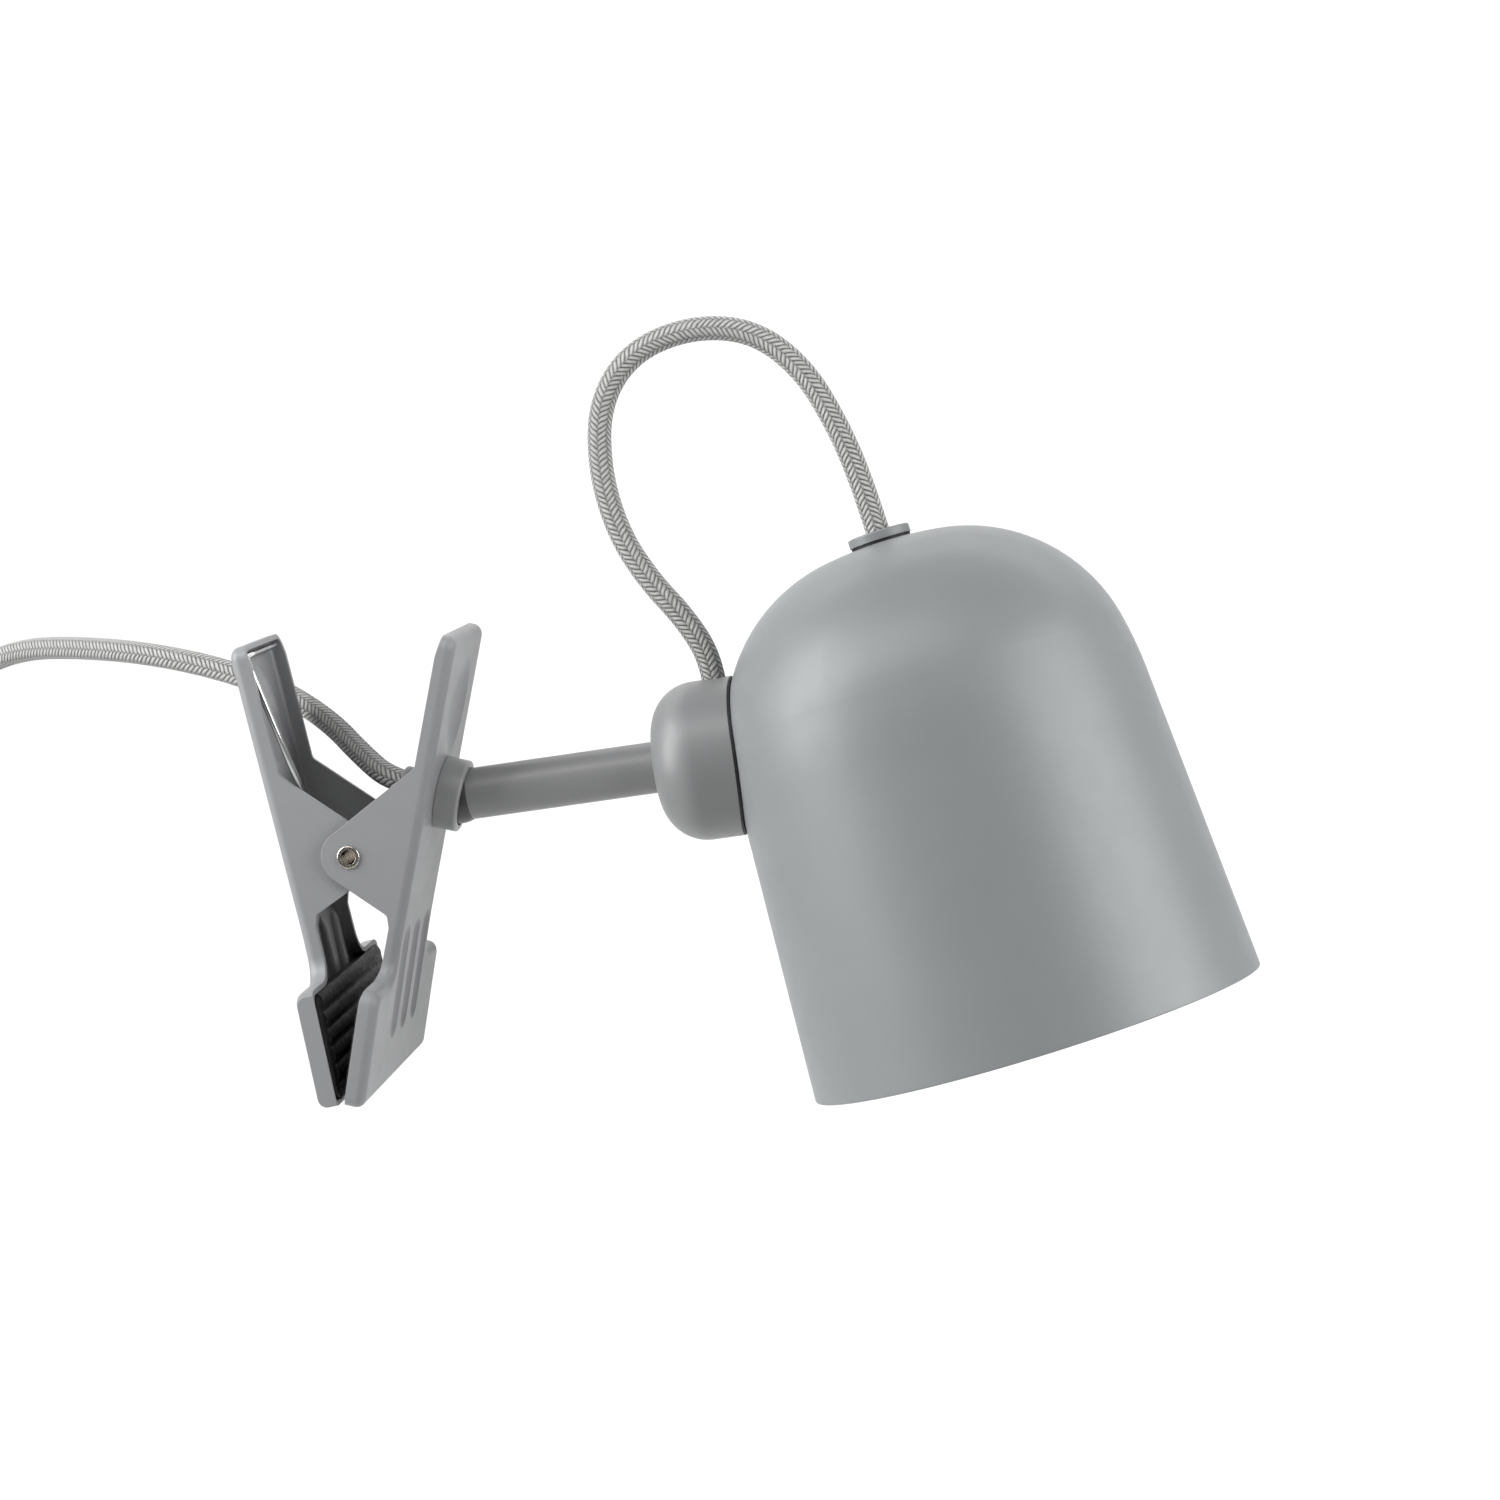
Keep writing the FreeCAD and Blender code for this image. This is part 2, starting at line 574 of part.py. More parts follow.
def shade_outline(offset):
    """The shade's outside, moved out by offset, from the axis to the rim: arcs that touch, then a cone."""
    edges = []
    r, z = 0.0, offset
    heading = 0.0
    for radius, turn in DOME_ARCS:
        radius = radius + offset
        centre_r = r - radius * math.sin(math.radians(heading))
        centre_z = z - radius * math.cos(math.radians(heading))

        def at(angle):
            return V(centre_r + radius * math.sin(math.radians(angle)), 0,
                     centre_z + radius * math.cos(math.radians(angle)))

        edges.append(Part.Arc(at(heading), at(heading + turn / 2), at(heading + turn)).toShape())
        heading += turn
        r, z = at(heading).x, at(heading).z
    fall = z + SHADE_HEIGHT
    rim = V(r + fall / math.tan(math.radians(heading)), 0, -SHADE_HEIGHT)
    edges.append(Part.LineSegment(V(r, 0, z), rim).toShape())
    return edges, rim


def turned(edges, points):
    """Close an outline through more points and turn it about Z."""
    lines = [Part.LineSegment(a, b).toShape() for a, b in zip(points, points[1:])]
    return Part.Face(Part.Wire(Part.__sortEdges__(edges + lines))).revolve(ORIGIN, Z_AXIS, 360)


def shade_solid(offset):
    """The shade filled in, with its surface moved out by offset."""
    edges, rim = shade_outline(offset)
    return turned(edges, [rim, V(0, 0, -SHADE_HEIGHT), V(0, 0, offset)])


def shade_layer(outside, inside):
    """The layer between two offsets of the shade's surface."""
    outer, outer_rim = shade_outline(outside)
    inner, inner_rim = shade_outline(inside)
    lines = [Part.LineSegment(outer_rim, inner_rim).toShape(),
             Part.LineSegment(V(0, 0, inside), V(0, 0, outside)).toShape()]
    face = Part.Face(Part.Wire(Part.__sortEdges__(outer + inner + lines)))
    return face.revolve(ORIGIN, Z_AXIS, 360)


def shade():
    shell = shade_layer(0.0, -SHADE_T)
    rim = [e for e in shell.Edges if e.Closed and abs(e.BoundBox.ZMax + SHADE_HEIGHT) < 1e-3]
    shell = shell.makeFillet(0.35, rim)
    return shell.cut(cylinder(NIPPLE_R + 0.1, V(0, 0, -5), V(0, 0, 5)))


# ---- Knuckle ----

def knuckle_round(radius, start, end, corner):
    """A cylinder along the arm with its closed end rounded."""
    body = cylinder(radius, V(start, 0, 0), V(end, 0, 0))
    edge = [e for e in body.Edges if e.Closed and abs(e.CenterOfMass.x - start) < 0.01]
    return body.makeFillet(corner, edge)


def knuckle_shell():
    outer = knuckle_round(KNUCKLE_R, KNUCKLE_BACK, KNUCKLE_BACK + 40, KNUCKLE_ROUND)
    pocket = knuckle_round(KNUCKLE_R - KNUCKLE_WALL, KNUCKLE_BACK + KNUCKLE_WALL, KNUCKLE_BACK + 41,
                           KNUCKLE_ROUND - KNUCKLE_WALL)
    body = outer.cut(pocket).cut(tilt_head(shade_solid(SADDLE_GAP + SADDLE_PAD)))
    arm_hole = cylinder(ARM_R + PIVOT_RUN, V(KNUCKLE_BACK - 1, 0, 0), V(KNUCKLE_BACK + 5, 0, 0))
    cord_x = LOOP_ROUTE[0][0]
    cord_hole = cylinder(CORD_HOLE_R, V(cord_x, 0, 10), V(cord_x, 0, 30))
    return body.cut(arm_hole).cut(cord_hole)


def saddle_layer(radius, outside, inside):
    """The part of a layer around the shade that lies inside a cylinder along the arm."""
    column = cylinder(radius, V(KNUCKLE_BACK + 4, 0, 0), V(HEAD_OUT - 10, 0, 0))
    return tilt_head(shade_layer(outside, inside)).common(column)


def saddle_pad():
    return saddle_layer(KNUCKLE_R - 0.15, SADDLE_GAP + SADDLE_PAD, SADDLE_GAP)


def saddle_plate():
    return saddle_layer(14.0, SADDLE_GAP + SADDLE_PAD + PLATE_T, SADDLE_GAP + SADDLE_PAD)


def magnet():
    """The disc magnet behind the saddle's steel plate."""
    start = KNUCKLE_BACK + KNUCKLE_WALL + 3.6
    disc = cylinder(11.0, V(start, 0, 0), V(start + 6.0, 0, 0))
    return disc.makeChamfer(0.4, [e for e in disc.Edges if e.Closed])


# ---- Pieces of the head, in the shade's own frame ----

def cap_gasket():
    ring = tube_between(CAP_R - 0.3, NIPPLE_R, V(0, 0, -1), V(0, 0, SEAM_T))
    return ring.cut(shade_solid(0.0))


def cap_disc():
    disc = cylinder(CAP_R, V(0, 0, SEAM_T), V(0, 0, CAP_TOP))
    disc = disc.makeFillet(0.45, [e for e in disc.Edges if e.Closed and e.CenterOfMass.z > CAP_TOP - 0.01])
    return disc.cut(cylinder(CORD_HOLE_R, V(0, 0, -1), V(0, 0, 5)))


def hexagon(across_flats, bore, top, bottom):
    radius = across_flats / math.sqrt(3)
    corners = [math.radians(60 * i + 30) for i in range(6)]
    points = [V(radius * math.cos(a), radius * math.sin(a), bottom) for a in corners]
    return polygon_prism(points, V(0, 0, top - bottom)).cut(cylinder(bore, V(0, 0, bottom - 1), V(0, 0, top + 1)))


def holder_bracket():
    """A strap from the nipple down to the ring that carries the lampholder."""
    plate = cylinder(9.0, V(0, 0, BRACKET_TOP - BRACKET_T), V(0, 0, BRACKET_TOP))
    legs = [box(s * 8.4 - 0.6, s * 8.4 + 0.6, -4.5, 4.5, HOLDER_TOP, BRACKET_TOP - 0.4) for s in (-1, 1)]
    legs = [leg.common(cylinder(9.4, V(0, 0, -40), V(0, 0, 0))) for leg in legs]
    ring = cylinder(HOLDER_R - 0.6, V(0, 0, HOLDER_TOP), V(0, 0, HOLDER_TOP + BRACKET_T))
    ring = ring.cut(cylinder(5.5, V(0, 0, -60), V(0, 0, 0)))
    for y in (-9.2, 9.2):
        ring = ring.cut(cylinder(1.6, V(0, y, -60), V(0, y, 0)))
    return plate.fuse(legs + [ring]).cut(cylinder(NIPPLE_R, V(0, 0, -10), V(0, 0, 2)))


def holder_screw(y):
    head = cylinder(2.6, V(0, y, HOLDER_TOP + BRACKET_T), V(0, y, HOLDER_TOP + BRACKET_T + 1.8))
    head = head.makeFillet(0.6, [e for e in head.Edges if e.Closed and e.CenterOfMass.z > HOLDER_TOP + 2.9])
    slot = box(-3, 3, y - 0.35, y + 0.35, HOLDER_TOP + BRACKET_T + 1.1, HOLDER_TOP + 5)
    shank = cylinder(1.45, V(0, y, HOLDER_TOP - 6), V(0, y, HOLDER_TOP + BRACKET_T))
    return head.cut(slot).fuse(shank)


def lamp_holder():
    """A twist-and-lock lampholder: two keyhole sockets in a round ceramic body."""
    body = cylinder(HOLDER_R, V(0, 0, HOLDER_BASE), V(0, 0, HOLDER_TOP))
    body = body.makeChamfer(0.8, [e for e in body.Edges if e.Closed and e.CenterOfMass.z < HOLDER_BASE + 0.01])
    for s in (-1, 1):
        body = body.cut(cylinder(2.7, V(s * BULB_PIN_OUT, 0, HOLDER_BASE - 1), V(s * BULB_PIN_OUT, 0, HOLDER_BASE + 8)))
        body = body.cut(cylinder(1.5, V(0, s * 9.2, HOLDER_TOP - 7), V(0, s * 9.2, HOLDER_TOP + 1)))
        body = body.cut(lead_wire(s, 1.05))
    return body


def lead_wire(s, radius=0.95):
    """One insulated core from the nipple into the lampholder, or with a larger radius the hole for it."""
    return cylinder(radius, V(0, s * 1.6, -1.0), V(0, s * 3.0, HOLDER_TOP - 4.5))


def bulb_pin(s):
    x = s * BULB_PIN_OUT
    stem = cylinder(1.2, V(x, 0, HOLDER_BASE - 0.4), V(x, 0, HOLDER_BASE + 5))
    return stem.fuse(cylinder(2.4, V(x, 0, HOLDER_BASE + 4), V(x, 0, HOLDER_BASE + 6.5)))


def bulb_body():
    """The reflector lamp: a plain base that flares to the front ring."""
    top = HOLDER_BASE - 0.4
    lens = BULB_FRONT + 2.5
    outline = [V(0, 0, top), V(11.5, 0, top), V(12.5, 0, top - 1), V(12.5, 0, top - 8), V(24.0, 0, top - 33),
               V(BULB_R, 0, top - 37), V(BULB_R, 0, BULB_FRONT), V(BULB_R - 1.6, 0, BULB_FRONT),
               V(BULB_R - 1.6, 0, lens), V(0, 0, lens)]
    return Part.Face(Part.makePolygon(outline + outline[:1])).revolve(ORIGIN, Z_AXIS, 360)


def bulb_lens():
    lens = BULB_FRONT + 2.5
    disc = cylinder(BULB_R - 1.65, V(0, 0, BULB_FRONT + 0.6), V(0, 0, lens))
    dome_r = 90.0
    dome = Part.makeSphere(dome_r, V(0, 0, BULB_FRONT - 0.9 + dome_r))
    return disc.fuse(dome.common(cylinder(BULB_R - 3.5, V(0, 0, BULB_FRONT - 2), V(0, 0, BULB_FRONT + 1))))


# ---- Cords, coil and plug ----

def loop_cord():
    points = [V(u, 0, v) for u, v in LOOP_ROUTE]
    return place_knuckle(cord_tube("loop_cord", points, CORD_R))


def coil_tie():
    """A soft wire tie around the coil's bundle, at the top of the coil."""
    centre = COIL_CENTRE + V(0, 0, COIL_MEAN_R)
    band = Part.makeTorus(COIL_THICK_R + 0.9, 0.85, centre, Y_AXIS)
    return band


def plug_body():
    """A flat two-pin plug: a ribbed, tapered strain relief into a body that narrows towards the cord."""
    top = PLUG_TOP
    shoulder = top.z - RELIEF_LENGTH
    low = shoulder - PLUG_LENGTH
    half = PLUG_WIDTH / 2
    outline = [V(0, 6.5, shoulder), V(0, half, shoulder - 13), V(0, half, low + 2), V(0, half - 2, low),
               V(0, 2 - half, low), V(0, -half, low + 2), V(0, -half, shoulder - 13), V(0, -6.5, shoulder)]
    outline = [p + V(top.x - PLUG_DEPTH / 2, top.y, 0) for p in outline]
    body = polygon_prism(outline, V(PLUG_DEPTH, 0, 0))
    body = body.makeFillet(2.0, [e for e in body.Edges if abs(e.tangentAt(e.FirstParameter).x) < 0.01])
    relief = Part.makeCone(5.8, 3.9, RELIEF_LENGTH + 1, V(top.x, top.y, shoulder - 1), Z_AXIS)
    for i in range(6):
        z = shoulder + 3.0 + i * 3.3
        groove = tube_between(8.0, 4.6 - 0.16 * i, V(top.x, top.y, z), V(top.x, top.y, z + 1.1))
        relief = relief.cut(groove)
    hole = cylinder(CORD_R, V(top.x, top.y, top.z - 2), V(top.x, top.y, top.z + 1))
    return body.fuse(relief).cut(hole)


def plug_pin(s):
    y = PLUG_TOP.y + s * PIN_SPACING / 2
    top = PLUG_TOP.z - RELIEF_LENGTH - PLUG_LENGTH
    pin = cylinder(PIN_R, V(PLUG_TOP.x, y, top), V(PLUG_TOP.x, y, top - PIN_LENGTH))
    tip = [e for e in pin.Edges if e.Closed and e.CenterOfMass.z < top - PIN_LENGTH + 0.01]
    return pin.makeFillet(1.2, tip)


def main():
    os.makedirs("parts", exist_ok=True)
    run = PIVOT_RUN
    front = jaw(FRONT_FACE, FRONT_WIDTH, FRONT_TOP, FRONT_HANDLE, RIVET_SHANK_R + run)
    stem_hole = cylinder(STEM_R + run, V(FRONT_FACE - 4, 0, COLLAR_UP), V(FRONT_FACE + 4, 0, COLLAR_UP))
    export("front_jaw", place_front(front.cut(stem_hole)))
    back = jaw(BACK_FACE, BACK_WIDTH, BACK_TOP, BACK_HANDLE, RIVET_SHANK_R)
    export("back_jaw", place_back(back))
    export("front_pad", place_front(pad(FRONT_FACE)))
    export("back_pad", place_back(pad(BACK_FACE)))
    pin = rivet()
    pin.translate(PIVOT)
    export("pivot_rivet", pin)
    sleeve = tube_between(COIL_R - WIRE_R - 0.3, RIVET_SHANK_R, V(0, -12, 0), V(0, 12, 0))
    sleeve.translate(PIVOT)
    export("spring_sleeve", sleeve)
    export("jaw_spring", spring())

    export("swivel_collar", place_collar(collar()))
    export("collar_nut", place_collar(collar_nut()))
    export("cord_gland", place_collar(gland()))
    export("arm_ball", place_arm(arm_ball()))
    export("arm_tube", place_arm(arm_tube()))
    export("arm_nut", place_arm(arm_nut()))
    lead = cylinder(CORD_R, V(1.0, 0, 0), V(KNUCKLE_BACK + KNUCKLE_WALL + 3.2, 0, 0))
    export("arm_lead", place_arm(lead))

    export("knuckle_shell", place_knuckle(knuckle_shell()))
    export("saddle_pad", place_knuckle(saddle_pad()))
    export("saddle_plate", place_knuckle(saddle_plate()))
    export("knuckle_magnet", place_knuckle(magnet()))

    export("shade", place_head(shade()))
    export("cap_gasket", place_head(cap_gasket()))
    export("cap_disc", place_head(cap_disc()))
    export("cap_nipple", place_head(tube_between(NIPPLE_R, NIPPLE_BORE_R, V(0, 0, -9), V(0, 0, SEAM_T))))
    nut_top = BRACKET_TOP - BRACKET_T
    export("nipple_nut", place_head(hexagon(14.0, NIPPLE_R, nut_top, nut_top - 3.0)))
    export("holder_bracket", place_head(holder_bracket()))
    export("lamp_holder", place_head(lamp_holder()))
    for i, s in enumerate((-1, 1), start=1):
        export("holder_screw_%d" % i, place_head(holder_screw(s * 9.2)))
        export("lead_wire_%d" % i, place_head(lead_wire(s)))
        export("bulb_pin_%d" % i, place_head(bulb_pin(s)))
        export("plug_pin_%d" % i, plug_pin(s))
    export("bulb_body", place_head(bulb_body()))
    export("bulb_lens", place_head(bulb_lens()))

    export("loop_cord", loop_cord())
    mains = [V(*p) for p in MAINS_ROUTE]
    split = (mains[MAINS_SPLIT - 1] + mains[MAINS_SPLIT]) / 2
    start_route = mains[:MAINS_SPLIT] + [split]
    run_route = [split] + mains[MAINS_SPLIT:]
    export("mains_cord_start", cord_tube("mains_cord_start", start_route, CORD_R))
    export("mains_cord_run", cord_tube("mains_cord_run", run_route, CORD_R))
    export("mains_cord_tail", cord_tube("mains_cord_tail", [V(*p) for p in TAIL_ROUTE], CORD_R))
    export("cord_coil", Part.makeTorus(COIL_MEAN_R, COIL_THICK_R, COIL_CENTRE, X_AXIS))
    export("coil_tie", coil_tie())
    export("plug_body", plug_body())


main()
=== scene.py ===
"""Looks of a small clip-on lamp with a bell shade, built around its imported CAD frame.

Lengths are in metres, apart from the routes and the coil of the cords, which are in millimetres.
"""
import json
import math

import bpy
from mathutils import Matrix, Vector


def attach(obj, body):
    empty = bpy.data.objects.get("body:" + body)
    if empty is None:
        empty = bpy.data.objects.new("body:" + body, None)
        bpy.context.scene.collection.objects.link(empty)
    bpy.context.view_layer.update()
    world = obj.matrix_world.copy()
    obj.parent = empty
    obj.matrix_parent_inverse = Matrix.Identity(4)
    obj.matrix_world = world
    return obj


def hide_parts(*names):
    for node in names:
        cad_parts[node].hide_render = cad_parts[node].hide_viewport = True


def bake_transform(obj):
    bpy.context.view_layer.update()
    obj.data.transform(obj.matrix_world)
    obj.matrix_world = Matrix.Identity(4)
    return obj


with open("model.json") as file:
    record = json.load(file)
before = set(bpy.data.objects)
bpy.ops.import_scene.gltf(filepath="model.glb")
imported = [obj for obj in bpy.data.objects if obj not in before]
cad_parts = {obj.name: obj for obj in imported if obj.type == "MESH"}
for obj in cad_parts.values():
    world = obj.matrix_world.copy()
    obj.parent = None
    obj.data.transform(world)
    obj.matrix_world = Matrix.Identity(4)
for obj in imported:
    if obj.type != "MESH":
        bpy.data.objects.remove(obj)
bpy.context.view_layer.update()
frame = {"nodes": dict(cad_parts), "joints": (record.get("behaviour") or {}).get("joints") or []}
NODES = frame["nodes"]
JOINTS = {joint["name"]: joint for joint in frame["joints"]}
MM = 0.001

# Camera
CAMERA_AT = (0.1738, -0.7598, 0.1670)
CAMERA_DOWN = 7.54            # degrees below level
CAMERA_TURN = 6.28            # degrees to the left of +Y
CAMERA_LENS = 80.0

# Floor and lights
FLOOR_Z = -0.75
FLOOR_NEAR = -3.0             # the near edge, along Y
FLOOR_BEND_AT = 1.6           # where the floor starts to curve up
FLOOR_BEND_R = 1.0
FLOOR_BEND_STEPS = 24
FLOOR_TOP = 4.0
FLOOR_HALF_WIDTH = 5.0
LIT = (0.06, 0.0, 0.06)       # the point of the lamp that the lights around it face
# Each light: its name, its place, the point it faces, its width and height, and its power in watts.
LIGHTS = [
    ("side_left", (-0.86, -0.32, 0.36), LIT, (0.75, 1.00), 18.0),
    ("side_right", (1.06, -0.30, 0.38), LIT, (0.95, 0.90), 15.0),
    ("key", (-0.30, -0.52, 0.74), LIT, (0.40, 0.40), 1.8),
    ("front", (0.00, -0.90, 1.30), LIT, (0.8, 0.5), 4.0),
    ("wall", (-0.1, 1.2, 1.6), (-0.1, 2.6, 0.1), (3.2, 0.8), 44.0),
    ("floor_wash", (-0.1, 0.9, 1.0), (-0.1, 1.9, -0.7), (2.4, 0.8), 12.0),
]
WORLD_STRENGTH = 0.10

# Cords
CORD_D = 5.6 * MM
CORD_SIDES = 24
RING_STEP = 0.9 * MM          # between two rings of a cord's tube
BALL = Vector((21.81, 0.0, 54.13)) * MM
ARM_RISE = math.radians(9.0)
HEAD_ROLL = math.radians(-5.8)
# The loop, in the plane of the head, in mm: how far from the ball along the arm, and how high above it.
LOOP_ROUTE = [(63.4, 16.0), (63.4, 23.0), (58.9, 33.0), (51.5, 43.5), (46.0, 55.5), (43.9, 70.7),
              (46.3, 85.8), (55.2, 96.0), (69.7, 99.6), (84.2, 96.5), (94.5, 85.8), (100.5, 71.2),
              (104.1, 57.5), (106.16, 44.8)]
# The mains cord, from inside the gland past the back jaw's handle to the coil, in mm.
MAINS_ROUTE = [(15.6, 0.0, 55.35), (5.8, 0.0, 57.27), (-3.2, 8.6, 62.1), (-13.2, 18.2, 69.0),
               (-27.0, 25.4, 75.6), (-44.6, 30.2, 80.4), (-64.0, 37.6, 82.8), (-84.0, 50.4, 82.6),
               (-103.5, 64.4, 80.8), (-121.0, 77.4, 74.5), (-132.0, 86.4, 57.5)]
COIL_CENTRE = (-137.7, 53.0, 22.0)
COIL_MEAN_R = 32.1
COIL_RING_R = 8.2             # the turns lie in a ring of this radius around the bundle's middle
COIL_FIRST = 22.0             # degrees above +Y where the first turn starts
COIL_TURNS = 8.07
COIL_POINTS = 16              # points of the cord in one turn
COIL_LAY_START = 24.0         # where the first turn lies in that ring, from outwards towards +X, in degrees
COIL_LAY_STEP = 37.5          # how far each turn lies round the ring from the one before
TAIL_ROUTE = [(-146.8, 90.6, 8.0), (-153.2, 85.4, -2.5), (-154.7, 83.0, -9.5), (-154.7, 83.0, -17.0)]
UV_LAYER = "braid"            # how far around and along a cord each point lies

# Spring
WIRE_R = 0.75 * MM
SPRING_R = 5.3 * MM
SPRING_TURNS = 18
SPRING_STEPS = 36             # rings of the wire's tube in one turn
TURNS_SIDES = 14
LEG_SIDES = 20
LEG_Y = 14.3 * MM             # the legs stand this far either side of the middle
LEG_REACH = 26.3 * MM         # how far a leg's end runs across its handle
LEG_BEND = 2.2 * MM
LEG_BEND_STEPS = 8
FRONT_LEAN = 11.1             # each jaw's lean from upright, in degrees
BACK_LEAN = -13.7
FRONT_LEG_END = (52.1 * MM, 12.1 * MM)    # above the pivot along the jaw, and outwards from it
BACK_LEG_END = (50.1 * MM, -12.85 * MM)
PIVOT = Vector(JOINTS["clamp_open"]["pos_m"])


# ---- Camera, floor and lights ----

def make_camera():
    data = bpy.data.cameras.new("camera")
    data.lens = CAMERA_LENS
    camera = bpy.data.objects.new("camera", data)
    bpy.context.scene.collection.objects.link(camera)
    camera.location = CAMERA_AT
    camera.rotation_euler = (math.radians(90.0 - CAMERA_DOWN), 0.0, math.radians(CAMERA_TURN))
    bpy.context.scene.camera = camera


def aim(thing, place, target):
    thing.location = place
    thing.rotation_euler = (Vector(target) - Vector(place)).to_track_quat("-Z", "Y").to_euler()


def softbox(name, place, target, size, watts):
    data = bpy.data.lights.new(name, "AREA")
    data.shape = "RECTANGLE"
    data.size, data.size_y = size
    data.energy = watts
    lamp = bpy.data.objects.new(name, data)
    bpy.context.scene.collection.objects.link(lamp)
    aim(lamp, place, target)


def make_floor(material):
    """A pale sheet: flat floor, curved up into a wall at the back."""
    profile = [(FLOOR_NEAR, FLOOR_Z), (FLOOR_BEND_AT, FLOOR_Z)]
    for i in range(1, FLOOR_BEND_STEPS + 1):
        angle = math.radians(90.0 * i / FLOOR_BEND_STEPS)
        back = FLOOR_BEND_R * math.sin(angle)
        rise = FLOOR_BEND_R * (1 - math.cos(angle))
        profile.append((FLOOR_BEND_AT + back, FLOOR_Z + rise))
    profile.append((FLOOR_BEND_AT + FLOOR_BEND_R, FLOOR_TOP))
    verts = [(x, y, z) for y, z in profile for x in (-FLOOR_HALF_WIDTH, FLOOR_HALF_WIDTH)]
    faces = [(2 * i, 2 * i + 1, 2 * i + 3, 2 * i + 2) for i in range(len(profile) - 1)]
    mesh = bpy.data.meshes.new("floor")
    mesh.from_pydata(verts, [], faces)
    mesh.shade_smooth()
    floor = bpy.data.objects.new("floor", mesh)
    bpy.context.scene.collection.objects.link(floor)
    mesh.materials.append(material)


def make_lights():
    for light in LIGHTS:
        softbox(*light)
    world = bpy.data.worlds.new("studio")
    bpy.context.scene.world = world
    world.use_nodes = True
    background = world.node_tree.nodes["Background"]
    background.inputs["Color"].default_value = (1.0, 1.0, 1.0, 1.0)
    background.inputs["Strength"].default_value = WORLD_STRENGTH
    bpy.context.scene.view_settings.view_transform = "Standard"


# ---- Materials ----

class Shader:
    """A material's node tree, with short calls for the nodes used here."""

    def __init__(self, name, colour=(0.5, 0.5, 0.5), roughness=0.5, metallic=0.0, **extra):
        self.material = bpy.data.materials.new(name)
        self.material.use_nodes = True
        self.tree = self.material.node_tree
        self.surface = self.tree.nodes["Principled BSDF"]
        self.surface.inputs["Base Color"].default_value = (*colour, 1.0)
        self.surface.inputs["Roughness"].default_value = roughness
        self.surface.inputs["Metallic"].default_value = metallic
        for socket, value in extra.items():
            self.surface.inputs[socket.replace("_", " ")].default_value = value
        self.coordinates = None

    def put(self, socket, value):
        """Links another node's output, or sets a constant, or leaves the socket alone for None."""
        if isinstance(value, bpy.types.NodeSocket):
            self.tree.links.new(value, socket)
        elif value is not None:
            socket.default_value = value

    def place(self):
        if self.coordinates is None:
            self.coordinates = self.tree.nodes.new("ShaderNodeTexCoord").outputs["Object"]
        return self.coordinates

    def uv(self, layer):
        node = self.tree.nodes.new("ShaderNodeUVMap")
        node.uv_map = layer
        split = self.tree.nodes.new("ShaderNodeSeparateXYZ")
        self.put(split.inputs[0], node.outputs["UV"])
        return split.outputs["X"], split.outputs["Y"]

    def math(self, operation, a, b=None):
        node = self.tree.nodes.new("ShaderNodeMath")
        node.operation = operation
        for socket, value in zip(node.inputs, (a, b)):
            self.put(socket, value)
        return node.outputs[0]

    def noise(self, size, detail=3.0, rough=0.55, vector=None):
        """Noise with features about size metres across."""
        node = self.tree.nodes.new("ShaderNodeTexNoise")
        self.put(node.inputs["Vector"], vector if vector is not None else self.place())
        node.inputs["Scale"].default_value = 1.0 / size
        node.inputs["Detail"].default_value = detail
        node.inputs["Roughness"].default_value = rough
        return node.outputs["Fac"]

    def stretched(self, scale):
        node = self.tree.nodes.new("ShaderNodeMapping")
        self.put(node.inputs["Vector"], self.place())
        node.inputs["Scale"].default_value = scale
        return node.outputs["Vector"]

    def span(self, value, low, high, start=0.0, end=1.0):
        """value from low..high to start..end, held at both ends."""
        node = self.tree.nodes.new("ShaderNodeMapRange")
        self.put(node.inputs["Value"], value)
        for name, number in (("From Min", low), ("From Max", high), ("To Min", start), ("To Max", end)):
            node.inputs[name].default_value = number
        return node.outputs["Result"]

    def mix(self, factor, a, b):
        node = self.tree.nodes.new("ShaderNodeMix")
        node.data_type = "RGBA"
        self.put(node.inputs["Factor"], factor)
        for socket, value in ((node.inputs[6], a), (node.inputs[7], b)):
            self.put(socket, value if isinstance(value, bpy.types.NodeSocket) else (*value, 1.0))
        return node.outputs[2]

    def bump(self, height, distance, strength=1.0, normal=None):
        node = self.tree.nodes.new("ShaderNodeBump")
        self.put(node.inputs["Height"], height)
        self.put(node.inputs["Normal"], normal)
        node.inputs["Distance"].default_value = distance
        node.inputs["Strength"].default_value = strength
        return node.outputs["Normal"]

    def soft_edges(self, radius):
        node = self.tree.nodes.new("ShaderNodeBevel")
        node.samples = 6
        node.inputs["Radius"].default_value = radius
        return node.outputs["Normal"]

    def finish(self, colour=None, roughness=None, normal=None):
        self.put(self.surface.inputs["Base Color"], colour)
        self.put(self.surface.inputs["Roughness"], roughness)
        self.put(self.surface.inputs["Normal"], normal)
        return self.material


def lighter(colour, factor):
    """The colour times factor, which is under 1 for a darker one."""
    return tuple(min(1.0, c * factor) for c in colour)


